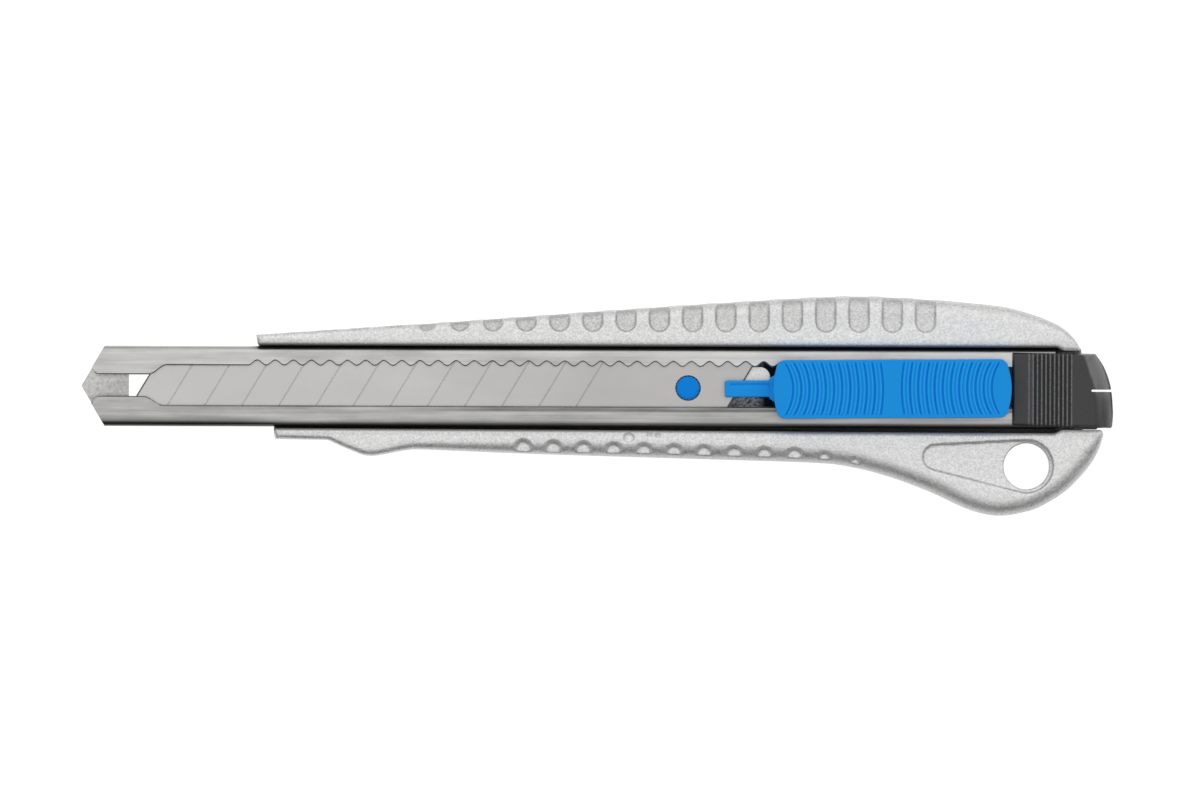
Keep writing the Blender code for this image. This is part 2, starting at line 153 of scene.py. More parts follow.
def new_collection(name):
    made = bpy.data.collections.new(name)
    bpy.context.scene.collection.children.link(made)
    return made


PIECES = new_collection("utility_knife")
TOOLS = new_collection("cutters")


def link(name, mesh, target):
    obj = bpy.data.objects.new(name, mesh)
    target.objects.link(obj)
    return obj


def arc(cx, cy, r, start, end, steps=16):
    """Points on a circle from start to end degrees, both ends included."""
    angles = [math.radians(start + (end - start) * i / steps) for i in range(steps + 1)]
    return [(cx + r * math.cos(a), cy + r * math.sin(a)) for a in angles]


def box_outline(x0, y0, x1, y1, r, steps=8):
    """A rectangle with corners rounded to r."""
    return (
        arc(x1 - r, y0 + r, r, -90, 0, steps)
        + arc(x1 - r, y1 - r, r, 0, 90, steps)
        + arc(x0 + r, y1 - r, r, 90, 180, steps)
        + arc(x0 + r, y0 + r, r, 180, 270, steps)
    )


def smooth_path(points, steps=14):
    """A smooth run through points, as a Catmull-Rom spline."""
    run = [Vector(p) for p in points]
    run = [2 * run[0] - run[1]] + run + [2 * run[-1] - run[-2]]
    out = []
    for a, b, c, d in zip(run, run[1:], run[2:], run[3:]):
        for i in range(steps):
            t = i / steps
            bend = (2 * a - 5 * b + 4 * c - d) * t**2
            twist = (3 * b - a - 3 * c + d) * t**3
            p = 0.5 * (2 * b + (c - a) * t + bend + twist)
            out.append((p.x, p.y))
    return out + [tuple(run[-2])]


def height_on(path, x):
    """Height of a path at x."""
    for (xa, ya), (xb, yb) in zip(path, path[1:]):
        if min(xa, xb) <= x <= max(xa, xb):
            return ya + (yb - ya) * (x - xa) / (xb - xa)
    return path[-1][1]


def evaluated_mesh(obj):
    graph = bpy.context.evaluated_depsgraph_get()
    return bpy.data.meshes.new_from_object(obj.evaluated_get(graph))


def plate(name, outlines, low, high, target=None, upright=False):
    """Flat outlines given a thickness from low to high. One inside another is its hole.

    The thickness runs along Z, or along X when upright, where an outline's pair is (y, z).
    """
    curve = bpy.data.curves.new(name, "CURVE")
    curve.dimensions = "2D"
    curve.fill_mode = "BOTH"
    curve.extrude = (high - low) / 2 * MM
    for outline in outlines:
        spline = curve.splines.new("POLY")
        spline.points.add(len(outline) - 1)
        for point, (x, y) in zip(spline.points, outline):
            point.co = (x * MM, y * MM, 0.0, 1.0)
        spline.use_cyclic_u = True
    flat = link(name + "_outline", curve, TOOLS)
    bpy.context.view_layer.update()
    mesh = evaluated_mesh(flat)
    bpy.data.objects.remove(flat, do_unlink=True)
    bm = bmesh.new()
    bm.from_mesh(mesh)
    bmesh.ops.remove_doubles(bm, verts=bm.verts, dist=1e-7)
    if len(outlines) == 1:
        for side in (-1, 1):
            bmesh.ops.dissolve_faces(bm, faces=[f for f in bm.faces if f.normal.z * side > 0.9])
    for vert in bm.verts:
        x, y, z = vert.co
        along = z + (low + high) / 2 * MM
        vert.co = (along, x, y) if upright else (x, y, along)
    bmesh.ops.recalc_face_normals(bm, faces=bm.faces)
    bm.to_mesh(mesh)
    bm.free()
    return link(name, mesh, target or TOOLS)


def cones(name, rounds, segments=48):
    """Round solids, each given as (x, y, low z, high z, low radius, high radius)."""
    mesh = bpy.data.meshes.new(name)
    bm = bmesh.new()
    for x, y, z0, z1, r0, r1 in rounds:
        bmesh.ops.create_cone(
            bm, cap_ends=True, segments=segments, radius1=r0 * MM, radius2=r1 * MM,
            depth=(z1 - z0) * MM, matrix=Matrix.Translation(Vector((x, y, (z0 + z1) / 2)) * MM),
        )
    bm.to_mesh(mesh)
    bm.free()
    return link(name, mesh, TOOLS)


def apply_modifiers(obj):
    mesh = evaluated_mesh(obj)
    obj.modifiers.clear()
    obj.data = mesh


def boolean(obj, other, operation="DIFFERENCE"):
    step = obj.modifiers.new(operation.lower(), "BOOLEAN")
    step.operation = operation
    step.solver = "EXACT"
    step.object = other


def bevel(obj, width, segments=3, angle=40.0):
    step = obj.modifiers.new("bevel", "BEVEL")
    step.width = width * MM
    step.segments = segments
    step.limit_method = "ANGLE"
    step.angle_limit = math.radians(angle)
    step.use_clamp_overlap = True


def round_rims(obj, width_at, most, segments=8):
    """Rounds the two rims of a plate, each stretch by the millimetres that width_at gives for its middle."""
    bm = bmesh.new()
    bm.from_mesh(obj.data)
    weights = bm.edges.layers.float.new("bevel_weight_edge")
    for edge in bm.edges:
        a, b = (v.co / MM for v in edge.verts)
        if edge.is_manifold and edge.calc_face_angle() > 1.2 and abs(a.z - b.z) < 1e-3:
            edge[weights] = min(1.0, width_at((a + b) / 2) / most)
    bm.to_mesh(obj.data)
    bm.free()
    step = obj.modifiers.new("rims", "BEVEL")
    step.use_clamp_overlap = False
    step.width = most * MM
    step.segments = segments
    step.limit_method = "WEIGHT"


def moulded(obj, extras, voxel, passes):
    """Melts a piece and the solids that overlap it into one skin with soft edges, as a mould leaves it."""
    apply_modifiers(obj)
    bm = bmesh.new()
    bm.from_mesh(obj.data)
    for extra in extras:
        apply_modifiers(extra)
        bm.from_mesh(extra.data)
    bm.to_mesh(obj.data)
    bm.free()
    skin = obj.modifiers.new("skin", "REMESH")
    skin.mode = "VOXEL"
    skin.voxel_size = voxel * MM
    soften = obj.modifiers.new("soften", "SMOOTH")
    soften.factor = 0.5
    soften.iterations = passes
    apply_modifiers(obj)


def vertex_places(obj):
    """A mesh's vertices in metres, one row each."""
    co = np.empty(len(obj.data.vertices) * 3, np.float32)
    obj.data.vertices.foreach_get("co", co)
    return co.reshape(-1, 3)


def thin_out(obj):
    """Joins triangles on flat ground until the piece is within its budget."""
    obj.data.calc_loop_triangles()
    thin = obj.modifiers.new("thin", "DECIMATE")
    thin.ratio = min(1.0, MOST_TRIANGLES / len(obj.data.loop_triangles))
    apply_modifiers(obj)


def shade(obj, angle=None):
    """Smooth shading. With an angle, edges above it stay sharp and broad faces keep their flat shading."""
    obj.data.shade_smooth()
    if angle:
        obj.data.set_sharp_from_angle(angle=math.radians(angle))
        flat = obj.modifiers.new("flat_faces", "WEIGHTED_NORMAL")
        flat.weight = 60
        flat.keep_sharp = True


def dress(obj, look, body, node):
    """Gives a finished piece its material and puts it in the place of its CAD node."""
    obj.data.materials.clear()
    obj.data.materials.append(look)
    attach(obj, body)
    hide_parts(node)


# ---------------------------------------------------------------- handle


def grip_edge(drop=0.0):
    """Upper outline of the handle, from the front of the rail to the tip over the end cap."""
    return smooth_path(
        [(x, y - drop) for x, y in (
            (-45.95, 9.45), (-22.5, 11.1), (1.75, 12.93), (17.9, 14.06), (32.7, 14.9), (42.1, 14.67),
            (50.2, 14.03), (55.6, 13.37), (60.97, 11.64), (63.66, 9.9), (WEB_END_X, 7.62),
        )]
    )


def finger_edge():
    """Lower outline, from the rear corner round the hanging loop to the finger stop and the front."""
    return smooth_path(
        [(68.2, -3.6), (67.7, -5.43), (66.35, -7.86), (63.66, -10.83), (60.97, -12.72), (58.28, -13.94),
         (54.2, -14.62), (50.2, -13.83), (44.8, -11.42), (39.4, -9.43), (34.05, -8.1), (28.67, -7.55),
         (12.5, -7.09), (-9.0, -6.49), (-22.5, -5.99), (-25.6, -6.05), (-30.4, -6.83), (-33.2, -6.05),
         (-36.2, -4.72)]
    )


def rim_width(p):
    """The casting's edge rounding: small at the rails' fronts and rear tips, full at the hanging loop."""
    if abs(p.x - WEB_END_X) < 0.02 and -3.0 < p.y < 7.6:
        return 0.0
    if p.x < -40.0 and -3.0 < p.y < 8.0:
        return 0.0
    if p.x > WEB_END_X and -3.1 < p.y < 5.0:
        return 0.0
    if p.y > 5.0:
        tip = min(1.0, max(0.25, (67.0 - p.x) / 7.0))
        return (0.6 + 1.2 * min(1.0, max(0.0, (p.x + 44.0) / 70.0))) * tip
    share = min(1.0, max(0.0, (p.x + 38.0) / 45.0))
    to_corner = math.hypot(p.x - 68.0, p.y + 3.1)
    return min(0.75 + (RIM_MAX - 0.75) * share, 0.6 + 0.45 * to_corner)


def flare(obj, mid_y, spread):
    """Opens a cutter's upper rim sideways, so that the edge it leaves is chamfered."""
    top = max(v.co.z for v in obj.data.vertices)
    for vert in obj.data.vertices:
        out = spread if vert.co.z > top - 1e-6 else 0.01
        vert.co.y += math.copysign(out * MM, vert.co.y - mid_y * MM)


def make_handle(look):
    """The casting: rails, web and hanging loop, with its pockets and dimples on both faces."""
    top = HANDLE_HIGH.z
    lower = finger_edge()
    outline = (
        grip_edge()
        + [(WEB_END_X, -3.02), (67.95, -3.02)]
        + lower
        + [(-43.36, -4.6), (-43.54, -3.05), (-45.65, 8.05)]
    )
    handle = plate("handle_casting", [outline], 0.0, top, PIECES)
    round_rims(handle, rim_width, RIM_MAX)
    channel = [(CHANNEL_FRONT, 8.02), (62.0, 8.02), (62.9, 7.62), (WEB_END_X + FAR, 7.62)]
    channel += [(WEB_END_X + FAR, -3.02), (62.5, -3.02), (61.5, -3.48), (-43.0, -3.1), (CHANNEL_FRONT, -3.1)]
    boolean(handle, plate("channel", [channel], CHANNEL_FLOOR, FAR))
    rim = plate("channel_rim", [channel], top - CHAMFER_DEEP, top + CHAMFER_DEEP)
    flare(rim, 2.5, CHAMFER_WIDE)
    boolean(handle, rim)
    boolean(handle, plate("back_panel", [box_outline(-38, -1.5, 50, 6.2, 2.0)], -1.0, 1.2))
    boolean(handle, cones("hang_hole", [(HOLE_X, HOLE_Y, -1.0, top + 1, HOLE_R, HOLE_R)], segments=64))
    recess = arc(45.6, -6.75, 1.75, 90, 255) + arc(HOLE_X, HOLE_Y, HOLE_R + 0.5, -102, 88, 30)
    for side, low, high in (("front", top - RECESS_DEPTH, top + 1), ("back", -1.0, RECESS_DEPTH)):
        boolean(handle, plate("recess_" + side, [recess], low, high))
    pockets = []
    for k in range(POCKET_COUNT):
        x = POCKET_X + POCKET_PITCH * k
        pockets.append(arc(x, POCKET_Y, POCKET_R, 180, 360) + [(x + POCKET_R, FAR), (x - POCKET_R, FAR)])
    boolean(handle, plate("pockets", pockets, -2.0, top + 2))
    dimples = []
    for k in range(DIMPLE_COUNT):
        x = DIMPLE_X + DIMPLE_PITCH * k
        size = DIMPLE_SIZES[max(0, k - DIMPLE_COUNT + len(DIMPLE_SIZES))]
        y = height_on(lower, x) + DIMPLE_INSET
        narrow = DIMPLE_FLOOR_R * size
        wide = DIMPLE_R * size * 1.15
        dimples.append((x, y, top - DIMPLE_DEPTH, top + 0.4, narrow, wide))
        dimples.append((x, y, -0.4, DIMPLE_DEPTH, wide, narrow))
    # Marks of the punch that stakes the guide into the lower rail.
    for x, y, wide in STAKE_MARKS:
        dimples.append((x, y, top - 0.35, top + 0.3, wide * 0.7, wide * 1.1))
    boolean(handle, cones("dimples", dimples, segments=32))
    # The pockets are as deep everywhere as they are in the faces: this core is what lies under them.
    sunk = [p for p in grip_edge(POCKET_SINK) if -26.0 < p[0] < 47.0]
    sunk += [(sunk[-1][0], 8.7), (sunk[0][0], 8.7)]
    core = plate("pocket_core", [sunk], POCKET_DEPTH, top - POCKET_DEPTH)
    round_rims(core, lambda p: rim_width(p) if p.y > 9.0 else 0.0, RIM_MAX)
    moulded(handle, [core], voxel=0.16, passes=2)
    thin_out(handle)
    shade(handle)
    dress(handle, look, "body", "handle")


# ---------------------------------------------------------------- guide, blade, carrier and spring


def rack_edge(per_wave=14):
    """The scalloped edge of the upper lip that the lock spring clicks along."""
    points = []
    for i in range(RACK_COUNT * per_wave + 1):
        x = RACK_X - RACK_PITCH / 2 + RACK_PITCH * i / per_wave
        wave = 0.5 + 0.5 * math.cos(2 * math.pi * (x - RACK_X) / RACK_PITCH)
        points.append((x, LIP_Y1 + RACK_DEPTH * wave))
    return points


def step_curve(x0, y0, x1, y1, steps=12):
    """An S-shaped change of height from one straight edge to another."""
    return [
        (x0 + (x1 - x0) * i / steps, y0 + (y1 - y0) * (0.5 - 0.5 * math.cos(math.pi * i / steps)))
        for i in range(steps + 1)
    ]


def make_guide(look):
    """The folded strip: a channel with inturned lips, cut to a point at the nose."""
    x0, x1 = GUIDE_LOW.x, GUIDE_HIGH.x
    y0, y1 = GUIDE_LOW.y, GUIDE_HIGH.y
    z0, z1 = GUIDE_LOW.z, GUIDE_HIGH.z
    mid = (y0 + y1) / 2
    outer = box_outline(y0, z0, y1, z1, 0.95)
    inner = box_outline(y0 + WALL, z0 + WALL, y1 - WALL, z1 - WALL, 0.35)
    guide = plate("guide_channel", [outer, inner], x0, x1, PIECES, upright=True)
    for side, y in (("upper", y1), ("lower", y0)):
        out = math.copysign(1.0, y - mid)
        corner = [(x0, mid), (x0 + NOSE_LENGTH, y), (x0 + NOSE_LENGTH, y + out)]
        corner += [(x0 - 1, y + out), (x0 - 1, mid)]
        boolean(guide, plate("nose_" + side, [corner], z0 - 1, z1 + 1))
    slot = (
        [(x0 - 1, LIP_Y1), (x0 + 1.3, LIP_Y1)]
        + arc(x0 + 2.55, LIP_Y1 - 0.26, 1.0, 180, 270, 8)
        + step_curve(-60.4, MOUTH_Y1, -57.9, LIP_Y1)
        + rack_edge()
        + [(x1 + 1, LIP_Y1), (x1 + 1, LIP_Y0)]
        + step_curve(-58.3, LIP_Y0, -61.1, MOUTH_Y0)
        + arc(x0 + 2.55, MOUTH_Y0 - 1.0, 1.0, 90, 180, 8)
        + [(x0 - 1, MOUTH_Y0 - 1.0)]
    )
    boolean(guide, plate("slot", [slot], z1 - WALL - 0.3, z1 + 1))
    rim = plate("slot_rim", [slot], z1 - SLOT_CHAMFER_DEEP, z1 + SLOT_CHAMFER_DEEP)
    flare(rim, mid, SLOT_CHAMFER_WIDE)
    boolean(guide, rim)
    window = box_outline(-63.1, 0.3, -49.0, 4.9, 0.5)
    boolean(guide, plate("window", [window], z0 - 1, z0 + WALL + 0.3))
    bevel(guide, 0.06, 2, 50.0)
    apply_modifiers(guide)
    shade(guide, 30)
    dress(guide, look, "body", "blade_guide")


def make_blade(look):
    """A ground strip cut off at the blade's angle, so its ends are sheared after it is extruded."""
    y0, y1 = BLADE_LOW.y, BLADE_HIGH.y
    z0, z1 = BLADE_LOW.z, BLADE_HIGH.z
    middle = (z0 + z1) / 2
    section = [
        (y0, middle - 0.02), (y0, middle + 0.02), (y0 + BLADE_EDGE, z1),
        (y1, z1), (y1, z0), (y0 + BLADE_EDGE, z0),
    ]
    length = BLADE_HIGH.x - BLADE_LOW.x - (y1 - y0) / BLADE_SLOPE
    blade = plate("blade_strip", [section], BLADE_LOW.x, BLADE_LOW.x + length, PIECES, upright=True)
    for vert in blade.data.vertices:
        vert.co.x += (vert.co.y - y0 * MM) / BLADE_SLOPE
    drilled = [(PEG_X, PEG_Y, z0 - 1, z1 + 1, PEG_R + PEG_PLAY, PEG_R + PEG_PLAY)]
    boolean(blade, cones("blade_hole", drilled, segments=64))
    low, high = y0 - 1, y1 + 1
    scores = []
    for k in range(SCORE_COUNT):
        near = SCORE_X + SCORE_PITCH * k + low / BLADE_SLOPE
        far = SCORE_X + SCORE_PITCH * k + high / BLADE_SLOPE
        scores.append([(near, low), (near + SCORE_W, low), (far + SCORE_W, high), (far, high)])
    boolean(blade, plate("scores", scores, z1 - SCORE_DEPTH, z1 + 1))
    bevel(blade, 0.03, 2, 50.0)
    apply_modifiers(blade)
    shade(blade, 30)
    dress(blade, look, "slider", "blade")


def make_carrier(look):
    """The plate under the blade, with a boss and the peg that holds the blade."""
    x0, x1 = CARRIER_LOW.x, CARRIER_HIGH.x
    y0, y1 = CARRIER_LOW.y, CARRIER_HIGH.y
    plate_top = SPRING_LOW.z - 0.1
    carrier = plate("carrier_plate", [box_outline(x0, y0, x1, y1, 1.0)], CARRIER_LOW.z, plate_top, PIECES)
    foot = CARRIER_LOW.z + 0.5
    top = CARRIER_HIGH.z
    boolean(carrier, cones("boss", [(PEG_X, PEG_Y, foot, BLADE_LOW.z - 0.1, 2.6, 2.6)]), "UNION")
    # The peg's top is domed: radius and height of each ring.
    rings = [(PEG_R, top - 0.45), (PEG_R - 0.06, top - 0.25), (PEG_R - 0.25, top - 0.08), (PEG_R - 0.6, top)]
    rounds = [(PEG_X, PEG_Y, foot, rings[0][1], PEG_R, PEG_R)]
    for (r0, low), (r1, high) in zip(rings, rings[1:]):
        rounds.append((PEG_X, PEG_Y, low - 0.001, high, r0, r1))
    for k, piece in enumerate(rounds):
        boolean(carrier, cones("peg_%d" % k, [piece], segments=64), "UNION")
    apply_modifiers(carrier)
    shade(carrier, 50)
    dress(carrier, look, "slider", "blade_carrier")


def make_spring(look):
    """The steel leaf between carrier and blade, whose arm holds a round nose up into the rack."""
    low = SPRING_LOW.z
    leaf = (
        [(17.8, 1.3), (24.0, 1.3), (26.0, 2.0), (26.6, 2.9), (40.0, 2.9), (40.0, 4.4)]
        + [(DETENT_X + 0.6, 4.4), (DETENT_X + 0.6, 5.2), (DETENT_X - 0.6, 5.2), (DETENT_X - 0.6, 4.4)]
        + [(26.0, 4.4), (25.2, 3.3), (23.3, 3.3)]
        + arc(21.95, 3.95, 1.35, 0, 90, 12)
        + [(18.6, 5.3)]
    )
    spring = plate("spring_leaf", [leaf], low, low + 0.4, PIECES)
    nose = [(DETENT_X - 0.6, 4.5), (DETENT_X + 0.6, 4.5)] + arc(DETENT_X, 5.2, 0.6, 0, 180, 16)
    boolean(spring, plate("detent", [nose], low + 0.05, SPRING_HIGH.z), "UNION")
    bevel(spring, 0.06, 2)
    apply_modifiers(spring)
    shade(spring, 30)
    dress(spring, look, "slider", "lock_spring")


# ---------------------------------------------------------------- thumb slider


def pad_outline():
    """Plan of the thumb rest: straight sides, bowed ends and rounded corners."""
    mid = (PAD_LOW.y + PAD_HIGH.y) / 2
    half = (PAD_HIGH.y - PAD_LOW.y) / 2
    corner, bulge = 1.25, 0.4
    points = []
    for out, x in ((1, PAD_X1), (-1, PAD_X0)):
        inner = x - out * bulge
        run = []
        for i in range(11):
            a = math.radians(8.5 * i)
            run.append((inner - out * corner * (1 - math.sin(a)), half - corner * (1 - math.cos(a))))
        for i in range(11):
            y = (half - corner) * (1 - i / 10)
            run.append((inner + out * bulge * (1 - (y / (half - corner)) ** 2), y))
        run += [(px, -py) for px, py in reversed(run[:-1])]
        points += [(px, mid + out * py) for px, py in run]
    return points


def on_top(co):
    """1 on the thumb rest's upper face, 0 below it."""
    return np.clip((co[:, 2] / MM - PAD_Z0 - 2.0) / 0.4, 0.0, 1.0)


def ribs(co):
    """How far each vertex is off the nearest groove and off the nearest rib's crest, and how much it counts.

    The grip ribs are arched and make two fans that mirror each other.
    """
    mid_y = (PAD_LOW.y + PAD_HIGH.y) / 2
    u = np.abs(co[:, 0] / MM - RIB_MID_X)
    v = co[:, 1] / MM - mid_y
    along = np.clip((u - RIB_FIRST) / (RIB_PITCH * RIB_COUNT), 0.0, 1.0)
    radius = 18.0 - 12.0 * along
    bowed = u - v**2 / (2 * radius)
    phase = (bowed - RIB_FIRST) / RIB_PITCH
    inside = (phase > -0.25) & (phase < RIB_COUNT + 0.25)
    off_groove = (phase - np.round(phase)) * RIB_PITCH
    off_crest = (phase + 0.5 - np.round(phase + 0.5)) * RIB_PITCH
    edge = np.clip(((PAD_HIGH.y - PAD_LOW.y) / 2 - 0.35 - np.abs(v)) / 0.25, 0.0, 1.0)
    return off_groove, off_crest, inside * edge


def rib_height(off_groove, off_crest, share):
    """Rise of the ribs: a deep groove between them and a fine one along each crest."""
    height = 0.06 - 0.24 * np.exp(-((off_groove / 0.12) ** 2)) - 0.12 * np.exp(-((off_crest / 0.1) ** 2))
    return height * share


def rib_painted_light(off_groove, off_crest, share):
    """Painted highlights along the ribs' edges and painted shade in the grooves."""
    light = np.exp(-(((np.abs(off_groove) - 0.27) / 0.09) ** 2))
    dark = np.exp(-((off_groove / 0.12) ** 2)) + 0.5 * np.exp(-((off_crest / 0.1) ** 2))
    return (light - dark) * share


def make_thumb_slider(look):
    """The thumb rest with its ribs, its neck in the guide and the tongue over the blade's tail."""
    mid = (PAD_LOW.y + PAD_HIGH.y) / 2
    top = PAD_HIGH.z
    middle = (PAD_X0 + PAD_X1) / 2
    reach = (PAD_X1 - PAD_X0) / 2
    rise = SADDLE_R * (1 - math.cos(math.asin(reach / SADDLE_R)))
    pad = plate("thumb_rest", [pad_outline()], PAD_Z0, top + 0.2, PIECES)
    hollow = [
        (middle + SADDLE_R * math.sin(a), top - rise - 0.05 + SADDLE_R * (1 - math.cos(a)))
        for a in (math.radians(0.4 * i) for i in range(-15, 16))
    ]
    saddle = plate("saddle", [hollow + [(middle + 25, top + 5), (middle - 25, top + 5)]], mid - 8, mid + 8)
    # The saddle was drawn in plan, and is turned so that its outline stands on X and Z.
    for vert in saddle.data.vertices:
        x, z, y = vert.co
        vert.co = (x, y, z)
    saddle.data.flip_normals()
    boolean(pad, saddle)
    bevel(pad, 0.7, 5)
    neck = plate(
        "neck", [[(27.0, 0.3), (54.0, 0.3), (54.0, 4.9), (41.0, 4.9), (41.0, 2.5), (27.0, 2.5)]],
        PAD_LOW.z, PAD_Z0 + 0.6,
    )
    tongue_top = PAD_Z0 + 0.65
    tongue = plate(
        "tongue", [box_outline(PAD_LOW.x, TONGUE_Y0, PAD_X0 + 3.0, TONGUE_Y1, 0.3)],
        GUIDE_HIGH.z - 0.3, tongue_top,
    )
    bevel(tongue, 0.15, 2)
    groove = box_outline(PAD_LOW.x + 0.75, TONGUE_Y1 - 0.85, PAD_X0 + 2.0, TONGUE_Y1 - 0.45, 0.15, 3)
    boolean(tongue, plate("tongue_groove", [groove], tongue_top - 0.15, tongue_top + 1))
    root = plate(
        "tongue_root",
        [[(PAD_X0 - 0.5, 1.2), (PAD_X0 + 1.5, -0.3), (PAD_X0 + 1.5, 5.2), (PAD_X0 - 0.5, 3.9)]],
        PAD_Z0, PAD_Z0 + 1.6,
    )
    moulded(pad, [neck, tongue, root], voxel=0.07, passes=3)
    co = vertex_places(pad)
    normals = np.empty(co.size, np.float32)
    pad.data.vertices.foreach_get("normal", normals)
    up = np.clip((normals.reshape(-1, 3)[:, 2] - 0.5) / 0.3, 0.0, 1.0)
    co[:, 2] += rib_height(*ribs(co)) * up * on_top(co) * MM
    pad.data.vertices.foreach_set("co", co.ravel())
    thin_out(pad)
    co = vertex_places(pad)
    # The ribs' painted highlights and shade are kept on the mesh for the material.
    gloss = pad.data.attributes.new("rib_painted_light", "FLOAT", "POINT")
    gloss.data.foreach_set("value", (rib_painted_light(*ribs(co)) * on_top(co)).astype(np.float32))
    lever = (co[:, :2] - np.array([middle, mid]) * MM) * PAD_TURN
    co[:, 0] -= lever[:, 1]
    co[:, 1] += lever[:, 0]
    pad.data.vertices.foreach_set("co", co.ravel())
    shade(pad)
    dress(pad, look, "slider", "thumb_slider")


# ---------------------------------------------------------------- end cap


def cap_rim(p):
    """The cap's rounding: soft at the rear end, slight along the sides."""
    return CAP_RIM if p.x > 67.3 and p.z > 5 else 0.3


def make_end_cap(look):
    """The snapper cap: a ribbed shell over the guide, a plug inside it, and a skirt down to the back."""
    x0, x1 = CAP_LOW.x - CAP_LEAD, CAP_HIGH.x
    top = CAP_HIGH.z
    rear = smooth_path([(67.1, 7.25), (68.3, 5.38), (69.17, 2.8), (x1 - 0.02, -0.4), (69.4, -2.45)], 8)
    end = [(69.25, -2.75)]
    block = [(x0, 7.41)] + rear + end + [(x0, -2.5)]
    cap = plate("cap_shell", [block], GUIDE_LOW.z + 0.1, top, PIECES)
    round_rims(cap, cap_rim, CAP_RIM, 6)
    over_lips = [(x0 - 1, -6), (GUIDE_HIGH.x + 0.2, -6), (GUIDE_HIGH.x + 0.2, 12), (x0 - 1, 12)]
    boolean(cap, plate("guide_room", [over_lips], GUIDE_LOW.z - 1, GUIDE_HIGH.z + 0.15))
    slit = arc(SLIT_X + SLIT_W / 2, SLIT_Y, SLIT_W / 2, 90, 270, 8)
    slit += [(x1 + 1, SLIT_Y - SLIT_W / 2), (x1 + 1, SLIT_Y + SLIT_W / 2)]
    plug = plate(
        "plug", [box_outline(57.0, GUIDE_LOW.y + 0.75, GUIDE_HIGH.x + 1.5, GUIDE_HIGH.y - 0.75, 0.4)],
        GUIDE_LOW.z + 0.75, GUIDE_HIGH.z - 0.75,
    )
    skirt = plate(
        "skirt", [[(WEB_END_X + 0.3, 7.2)] + rear + end + [(WEB_END_X + 0.3, -2.75)]],
        CAP_LOW.z, GUIDE_LOW.z + 1.0,
    )
    shoe = plate("shoe", [box_outline(64.0, -2.96, 67.4, -1.5, 0.2, 3)], GUIDE_HIGH.z + 0.2, top - 0.9)
    boolean(cap, plate("slit", [slit], -1, top + 1))
    boolean(skirt, plate("skirt_slit", [slit], -1, top + 1))
    grooves = []
    for k in range(CAP_RIB_COUNT):
        x = CAP_RIB_X + CAP_RIB_PITCH * k
        near, far = x - CAP_GROOVE_HALF, x + CAP_GROOVE_HALF
        grooves.append([(near, -5), (far, -5), (far, 10), (near, 10)])
    boolean(cap, plate("grooves", grooves, top - CAP_GROOVE_DEPTH, top + 1))
    moulded(cap, [plug, skirt, shoe], voxel=0.08, passes=2)
    co = vertex_places(cap)
    x, y, z = co.T / MM
    past = np.clip(x - CAP_SLOPE_X + CAP_SLOPE_BOW * (y - CAP_SLOPE_Y) ** 2, 0.0, 6.0)
    upper = np.clip((z - GUIDE_HIGH.z + 1.5) / 1.5, 0.0, 1.0)
    co[:, 2] -= (0.3 * past + 0.12 * past**2) * upper * MM
    cap.data.vertices.foreach_set("co", co.ravel())
    thin_out(cap)
    shade(cap)
    dress(cap, look, "cap", "end_cap")


# ---------------------------------------------------------------- materials

BLUE_SHEEN = (0.12, 0.55, 1.0)  # colour of the gloss on blue plastic


